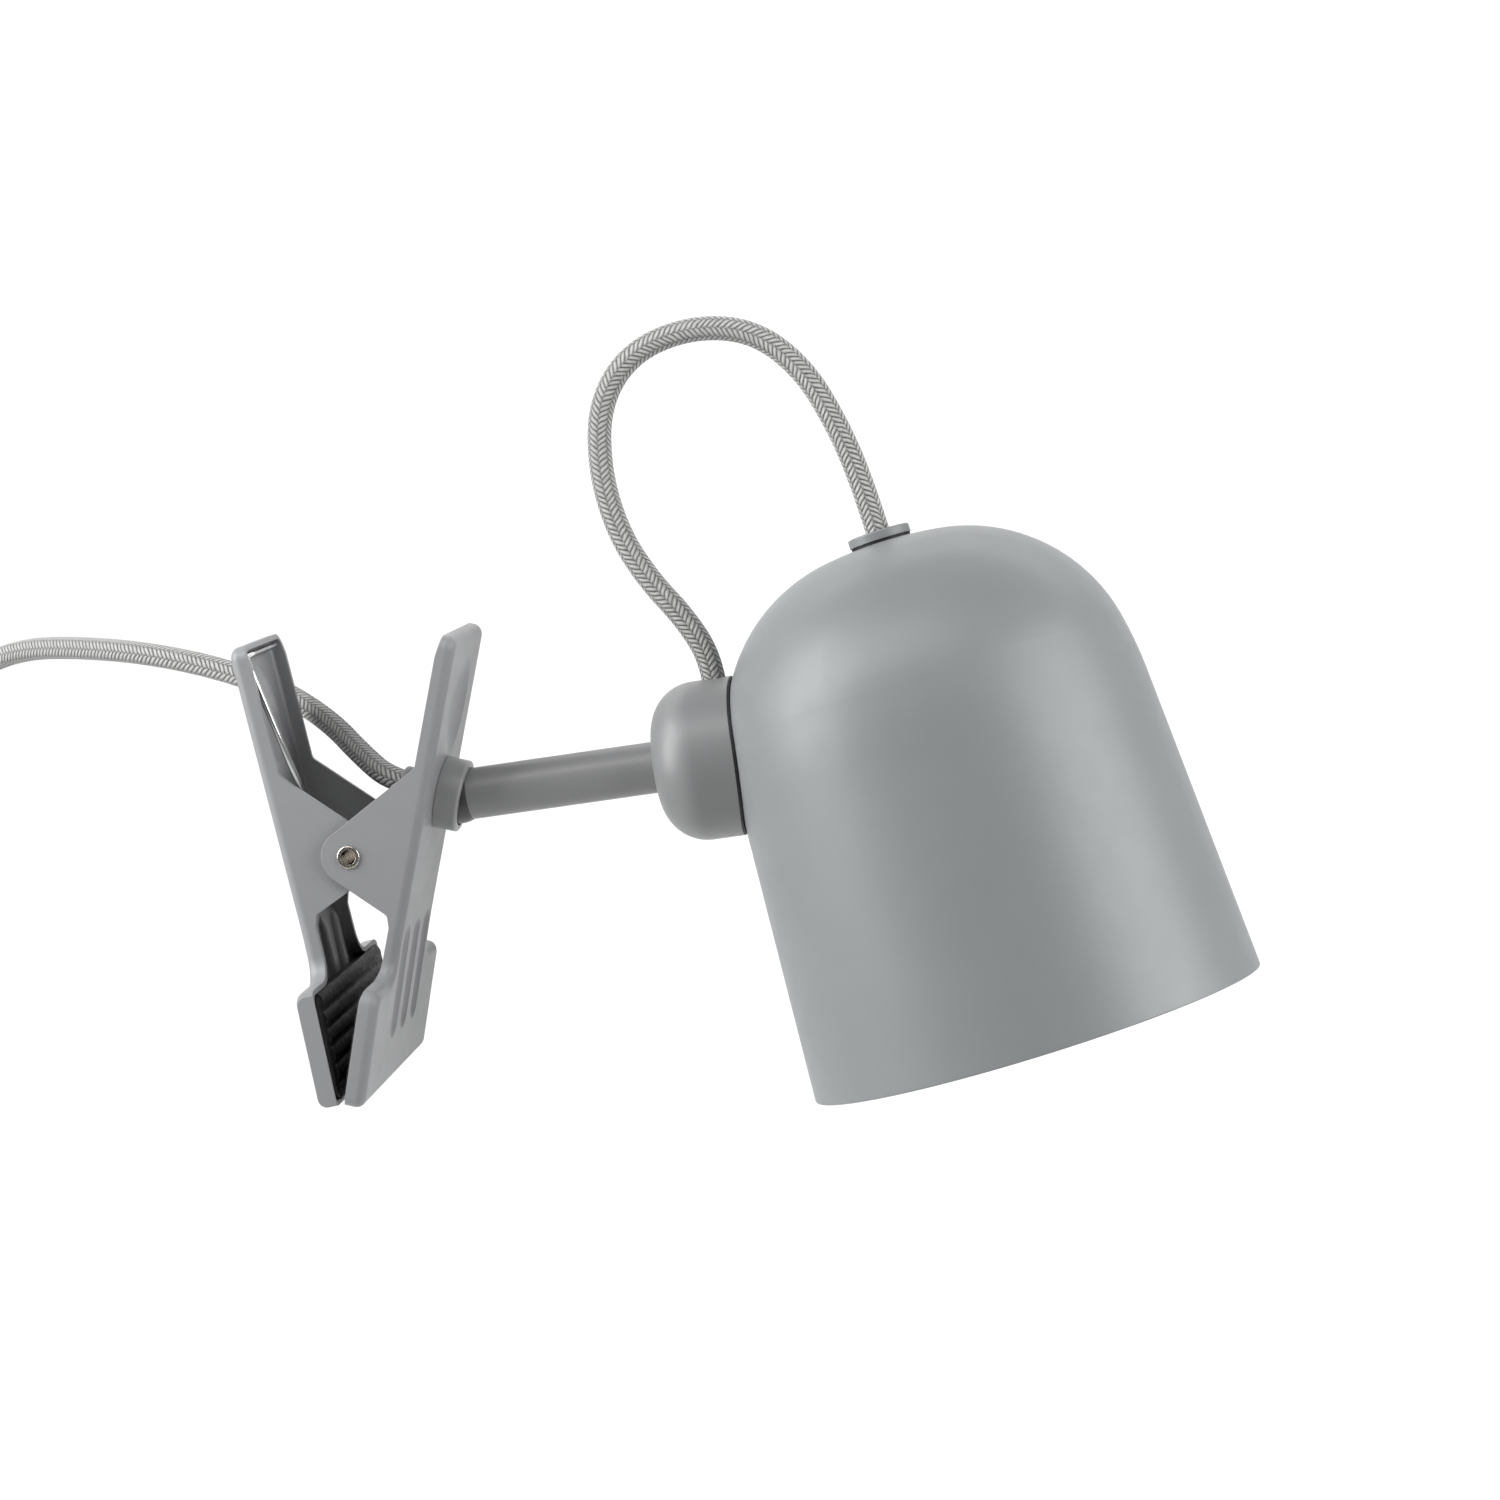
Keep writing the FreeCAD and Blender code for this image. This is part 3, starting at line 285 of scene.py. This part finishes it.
def paint(name, colour, roughness=0.42, edge=0.0):
    """Baked satin paint: fine orange peel, slight cloudiness, a speck of grit, and edges softened by edge."""
    peel_depth, peel_strength = 0.06 * MM, 0.10
    s = Shader(name, colour, roughness, Specular_IOR_Level=0.5)
    cloud = s.span(s.noise(28 * MM, 2.0), 0.3, 0.7)
    fleck = s.span(s.noise(0.35 * MM, 2.0), 0.35, 0.65)
    soft = s.mix(cloud, lighter(colour, 0.975), lighter(colour, 1.025))
    tone = s.mix(s.math("MULTIPLY", fleck, 0.35), soft, lighter(colour, 1.09))
    sheen = s.span(s.noise(6 * MM, 4.0), 0.3, 0.7, roughness - 0.03, roughness + 0.035)
    normal = s.soft_edges(edge) if edge else None
    grain = s.math("ADD", s.noise(1.1 * MM, 2.0), s.math("MULTIPLY", s.noise(0.28 * MM, 1.0), 0.25))
    return s.finish(tone, sheen, s.bump(grain, peel_depth, peel_strength, normal))


def rubber(name, colour=(0.010, 0.010, 0.011)):
    """Dull black rubber with a little dust and a coarse skin."""
    s = Shader(name, colour, 0.62, Specular_IOR_Level=0.4)
    dust = s.span(s.noise(2.4 * MM, 5.0, 0.7), 0.52, 0.75)
    tone = s.mix(dust, colour, lighter(colour, 3.2))
    grain = s.math("ADD", s.noise(0.5 * MM, 4.0, 0.7), s.math("MULTIPLY", s.noise(3.0 * MM), 0.6))
    rough = s.span(s.noise(1.2 * MM, 4.0), 0.3, 0.7, 0.48, 0.74)
    return s.finish(tone, rough, s.bump(grain, 0.16 * MM, 0.55))


def metal(name, colour, roughness=0.22, brushed=None, edge=0.0):
    """Bare or plated metal, with hairlines where brushed gives the stretch along X, Y and Z."""
    s = Shader(name, colour, roughness, 1.0)
    cloud = s.span(s.noise(3.5 * MM, 4.0), 0.35, 0.7)
    tone = s.mix(cloud, colour, lighter(colour, 0.82))
    lines = s.noise(0.22 * MM, 3.0, vector=s.stretched(brushed)) if brushed else s.noise(0.5 * MM, 4.0)
    rough = s.span(lines, 0.3, 0.7, roughness - 0.05, roughness + 0.1)
    normal = s.soft_edges(edge) if edge else None
    return s.finish(tone, rough, s.bump(lines, 0.02 * MM, 0.35, normal))


def plastic(name, colour, roughness=0.45, grain=0.35, **extra):
    """Moulded plastic with a fine spark-eroded texture."""
    s = Shader(name, colour, roughness, **extra)
    tone = s.mix(s.span(s.noise(9 * MM, 3.0), 0.3, 0.7), lighter(colour, 0.92), lighter(colour, 1.08))
    spark = s.noise(0.3 * MM, 3.0, 0.6)
    rough = s.span(spark, 0.3, 0.7, roughness - 0.06, roughness + 0.08)
    return s.finish(tone, rough, s.bump(spark, 0.05 * MM, grain))


def braid(name, dark=(0.060, 0.060, 0.062), light=(0.54, 0.54, 0.525)):
    """A textile braid: columns of yarns that lean left and right by turns, each a bunch of filaments."""
    columns, pitch, slant, filaments = 8.0, 1.3 * MM, 1.25, 10.0
    wander_depth, border_depth, thread_depth, fibre_depth = 0.5, 0.5, 0.06, 0.35
    s = Shader(name, light, 0.5, Sheen_Weight=0.2, Sheen_Roughness=0.4, Specular_IOR_Level=0.5)
    around, along = s.uv(UV_LAYER)
    # Where a point lies in its column, and which way that column leans.
    place = s.math("MULTIPLY", around, columns)
    across = s.math("SUBTRACT", s.math("FRACT", place), 0.5)
    odd = s.math("PINGPONG", s.math("FLOOR", place), 1.0)
    lean = s.math("SUBTRACT", 1.0, s.math("MULTIPLY", odd, 2.0))
    # How many yarns along the cord it lies, with the lean, half a yarn between columns, and some wander.
    leaning = s.math("MULTIPLY", s.math("MULTIPLY", lean, across), slant)
    wander = s.math("MULTIPLY", s.math("SUBTRACT", s.noise(1.6 * MM, 2.0), 0.5), wander_depth)
    phase = s.math("ADD", s.math("DIVIDE", along, pitch), leaning)
    phase = s.math("ADD", s.math("ADD", phase, s.math("MULTIPLY", odd, 0.5)), wander)
    # Each yarn's rounded back, sunk at the column's borders, with its filaments and loose fibres.
    yarn = s.math("POWER", s.math("ABSOLUTE", s.math("SINE", s.math("MULTIPLY", phase, math.pi))), 0.8)
    border = s.math("POWER", s.math("ABSOLUTE", s.math("MULTIPLY", across, 2.0)), 3.0)
    crown = s.math("MULTIPLY", yarn, s.math("SUBTRACT", 1.0, s.math("MULTIPLY", border, border_depth)))
    threads = s.math("SINE", s.math("MULTIPLY", phase, filaments * math.pi))
    fibre = s.noise(0.22 * MM, 3.0, 0.7)
    height = s.math("ADD", crown, s.math("MULTIPLY", threads, thread_depth))
    height = s.math("ADD", height, s.math("MULTIPLY", fibre, fibre_depth))
    # Colour: dark in the dips between yarns and at the column borders, which is painted shade, and light on
    # the yarns' backs, with the fibres' own random tone on top.
    gap_shade_and_fibre = s.math("ADD", crown, s.math("MULTIPLY", s.math("SUBTRACT", fibre, 0.5), 1.3))
    tone = s.mix(s.span(gap_shade_and_fibre, 0.05, 1.0), dark, light)
    rough = s.span(threads, -1.0, 1.0, 0.40, 0.58)
    return s.finish(tone, rough, s.bump(height, 0.45 * MM, 1.0))


def frosted_glass(name):
    s = Shader(name, (0.93, 0.93, 0.92), 0.35, Transmission_Weight=0.55, IOR=1.49)
    dimple = s.noise(1.6 * MM, 1.0)
    return s.finish(None, s.span(dimple, 0.3, 0.7, 0.28, 0.42), s.bump(dimple, 0.2 * MM, 0.4))


def floor_material():
    s = Shader("floor_white", (0.84, 0.84, 0.84), 0.75)
    return s.finish(s.mix(s.noise(0.4, 2.0), (0.835, 0.835, 0.835), (0.845, 0.845, 0.845)))


# ---- Tubes that follow a smooth line ----

def nurbs_line(name, points):
    """The line of a cord: one open spline of order 3 through the middle of its route."""
    curve = bpy.data.curves.new(name, "CURVE")
    curve.dimensions = "3D"
    curve.resolution_u = 16
    spline = curve.splines.new("NURBS")
    spline.points.add(len(points) - 1)
    for control, point in zip(spline.points, points):
        control.co = (*point, 1.0)
    spline.order_u = 3
    spline.use_endpoint_u = True
    return curve


def read_line(curve):
    """The points along a curve that has no bevel."""
    holder = bpy.data.objects.new("line", curve)
    bpy.context.scene.collection.objects.link(holder)
    bpy.context.view_layer.update()
    graph = bpy.context.evaluated_depsgraph_get()
    mesh = bpy.data.meshes.new_from_object(holder.evaluated_get(graph))
    points = [v.co.copy() for v in mesh.vertices]
    bpy.data.objects.remove(holder)
    bpy.data.meshes.remove(mesh)
    return points


def evenly(points, step):
    """The same line with its points about step apart."""
    reach = [0.0]
    for a, b in zip(points, points[1:]):
        reach.append(reach[-1] + (b - a).length)
    count = max(2, round(reach[-1] / step))
    even, k = [], 0
    for i in range(count + 1):
        at = reach[-1] * i / count
        while k < len(points) - 2 and reach[k + 1] < at:
            k += 1
        share = (at - reach[k]) / max(reach[k + 1] - reach[k], 1e-12)
        even.append(points[k].lerp(points[k + 1], share))
    return even


def tube(name, line, radius, sides, material):
    """A round tube along a line, its rings carried on without twist.

    Its UV is the share of a turn around it and the metres along it.
    """
    tangents = [(b - a).normalized() for a, b in zip([line[0]] + line[:-1], line[1:] + [line[-1]])]
    tangents[0], tangents[-1] = (line[1] - line[0]).normalized(), (line[-1] - line[-2]).normalized()
    side = tangents[0].orthogonal().normalized()
    verts, faces, along, run = [], [], [], 0.0
    for i, (point, tangent) in enumerate(zip(line, tangents)):
        side = (side - tangent * side.dot(tangent)).normalized()
        other = tangent.cross(side)
        run += (point - line[i - 1]).length if i else 0.0
        along.append(run)
        for k in range(sides):
            angle = 2 * math.pi * k / sides
            verts.append(point + (side * math.cos(angle) + other * math.sin(angle)) * radius)
    for i in range(len(line) - 1):
        for k in range(sides):
            n = (k + 1) % sides
            faces.append((i * sides + k, i * sides + n, (i + 1) * sides + n, (i + 1) * sides + k))
    faces += [tuple(reversed(range(sides))), tuple(range(len(verts) - sides, len(verts)))]
    mesh = bpy.data.meshes.new(name)
    mesh.from_pydata(verts, [], faces)
    layer = mesh.uv_layers.new(name=UV_LAYER)
    for face in mesh.polygons[:-2]:
        i, k = divmod(face.index, sides)
        for loop, (du, dv) in zip(face.loop_indices, ((0, 0), (1, 0), (1, 1), (0, 1))):
            layer.data[loop].uv = ((k + du) / sides, along[i + dv])
    mesh.shade_smooth()
    mesh.materials.append(material)
    piece = bpy.data.objects.new(name, mesh)
    bpy.context.scene.collection.objects.link(piece)
    return piece


# ---- Cords ----

def loop_point(u, v):
    """A point of the head's own plane, as a point of the lamp."""
    turn = Matrix.Rotation(-ARM_RISE, 3, "Y") @ Matrix.Rotation(HEAD_ROLL, 3, "X")
    return BALL + turn @ (Vector((u, 0.0, v)) * MM)


def coil_points():
    """The turns, each lying beside the one before around the middle of the bundle."""
    points = []
    count = round(COIL_TURNS * COIL_POINTS)
    widen = 1 / math.cos(math.pi / COIL_POINTS)
    for i in range(count + 1):
        turns = COIL_TURNS * i / count
        around = math.radians(COIL_FIRST - 360.0 * turns)
        lay = math.radians(COIL_LAY_START + COIL_LAY_STEP * turns)
        radius = (COIL_MEAN_R + COIL_RING_R * math.cos(lay)) * widen
        offset = Vector((COIL_RING_R * math.sin(lay), radius * math.cos(around), radius * math.sin(around)))
        points.append((Vector(COIL_CENTRE) + offset) * MM)
    return points


def make_mains_cord(material):
    route = [Vector(p) * MM for p in MAINS_ROUTE] + coil_points() + [Vector(p) * MM for p in TAIL_ROUTE]
    path = read_line(nurbs_line("mains_line", route))
    cord = tube("mains_cord", evenly(path, RING_STEP), CORD_D / 2, CORD_SIDES, material)
    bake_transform(cord)
    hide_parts("mains_cord_start", "mains_cord_run", "mains_cord_tail", "cord_coil")


def make_loop_cord(material):
    route = [loop_point(u, v) for u, v in LOOP_ROUTE]
    path = read_line(nurbs_line("loop_line", route))
    cord = tube("loop_braid", evenly(path, RING_STEP / 2), CORD_D / 2, CORD_SIDES, material)
    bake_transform(cord)
    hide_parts("loop_cord")


# ---- Spring ----

def leg_line(jaw_lean, foot_y, end_place):
    """A spring leg: from the turns up the inside of a handle, then square across under its end."""
    top, along_x = end_place
    turn = Matrix.Rotation(math.radians(jaw_lean), 3, "Y")
    side = math.copysign(1.0, along_x)
    foot = Vector((side * SPRING_R, foot_y, 0.0))
    knee = Vector((along_x, foot_y, top))
    end = knee - Vector((0.0, math.copysign(LEG_REACH, foot_y), 0.0))
    up, out = (knee - foot).normalized(), (end - knee).normalized()
    points = [foot, knee - up * LEG_BEND]
    for i in range(1, LEG_BEND_STEPS):
        angle = math.pi / 2 * i / LEG_BEND_STEPS
        points.append(knee - up * LEG_BEND * (1 - math.sin(angle)) + out * LEG_BEND * (1 - math.cos(angle)))
    points += [knee + out * LEG_BEND, end]
    return [PIVOT + turn @ p for p in points]


def turns_line(front_foot, back_foot):
    """The spring's turns around the pivot, from the front leg's foot to the back leg's."""
    start = math.atan2(front_foot.z - PIVOT.z, front_foot.x - PIVOT.x)
    finish = math.atan2(back_foot.z - PIVOT.z, back_foot.x - PIVOT.x)
    sweep = 2 * math.pi * SPRING_TURNS + (finish - start)
    steps = SPRING_TURNS * SPRING_STEPS
    line = []
    for i in range(steps + 1):
        share = i / steps
        angle = start + sweep * share
        y = LEG_Y - 2 * LEG_Y * share
        line.append(PIVOT + Vector((SPRING_R * math.cos(angle), y, SPRING_R * math.sin(angle))))
    return line


def make_spring(material):
    front = leg_line(FRONT_LEAN, LEG_Y, FRONT_LEG_END)
    back = leg_line(BACK_LEAN, -LEG_Y, BACK_LEG_END)
    legs = (("spring_leg_front", front, "front_clamp"), ("spring_leg_back", back, "back_clamp"))
    for name, line, body in legs:
        leg = tube(name, line, WIRE_R, LEG_SIDES, material)
        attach(leg, body)
    line = turns_line(front[0], back[0])
    coil = tube("spring_turns", line, WIRE_R, TURNS_SIDES, material)
    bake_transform(coil)
    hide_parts("jaw_spring")


# ---- Finishes of the CAD pieces ----

def dress(material, *names):
    for name in names:
        mesh = NODES[name].data
        mesh.materials.clear()
        mesh.materials.append(material)


def dress_all():
    dress(paint("shade_paint", (0.200, 0.211, 0.215), 0.43), "shade", "cap_disc")
    dress(paint("arm_paint", (0.212, 0.214, 0.217), 0.42), "arm_tube", "knuckle_shell")
    dress(paint("jaw_paint", (0.245, 0.247, 0.254), 0.44, edge=0.3 * MM), "front_jaw", "back_jaw")
    # The collar's grey is lighter than the arm's: painted light, making up for the shade the collar sits in.
    dress(paint("collar_painted_light", (0.262, 0.264, 0.268), 0.36, edge=0.2 * MM), "swivel_collar")
    dress(rubber("pad_rubber"), "front_pad", "back_pad")
    dress(rubber("seal_rubber", (0.012, 0.012, 0.013)), "saddle_pad", "cap_gasket")
    dress(metal("rivet_nickel", (0.66, 0.62, 0.55), 0.24, edge=0.1 * MM), "pivot_rivet")
    # Near black on the ball inside the collar: painted shade in the collar's hollow.
    dress(paint("ball_painted_shade", (0.035, 0.035, 0.037), 0.38), "arm_ball")
    dress(metal("nut_nickel", (0.58, 0.57, 0.54), 0.26), "arm_nut", "collar_nut", "nipple_nut", "cap_nipple",
          "holder_screw_1", "holder_screw_2", "knuckle_magnet")
    dress(metal("bracket_zinc", (0.55, 0.56, 0.58), 0.36, (1.0, 1.0, 0.1)), "holder_bracket", "saddle_plate")
    dress(metal("lamp_pin", (0.70, 0.62, 0.45), 0.25), "bulb_pin_1", "bulb_pin_2")
    dress(metal("plug_pin", (0.72, 0.70, 0.64), 0.2, (1.0, 1.0, 0.08)), "plug_pin_1", "plug_pin_2")
    dress(plastic("gland_nylon", (0.17, 0.175, 0.18), 0.42), "cord_gland")
    dress(plastic("sleeve_nylon", (0.04, 0.036, 0.03), 0.4), "spring_sleeve")
    dress(plastic("core_insulation", (0.62, 0.61, 0.57), 0.4), "lead_wire_1", "lead_wire_2", "arm_lead")
    dress(plastic("holder_ceramic", (0.74, 0.73, 0.69), 0.22, 0.1, Coat_Weight=0.3), "lamp_holder")
    dress(plastic("plug_black", (0.03, 0.03, 0.032), 0.46, 0.5), "plug_body")
    dress(plastic("tie_black", (0.02, 0.02, 0.021), 0.4), "coil_tie")
    dress(plastic("bulb_white", (0.80, 0.80, 0.79), 0.3, 0.08), "bulb_body")
    dress(frosted_glass("bulb_glass"), "bulb_lens")


def main():
    make_camera()
    textile = braid("cord_braid")
    make_mains_cord(textile)
    make_loop_cord(textile)
    make_spring(metal("spring_wire", (0.74, 0.74, 0.74), 0.14))
    dress_all()
    make_floor(floor_material())
    make_lights()


main()
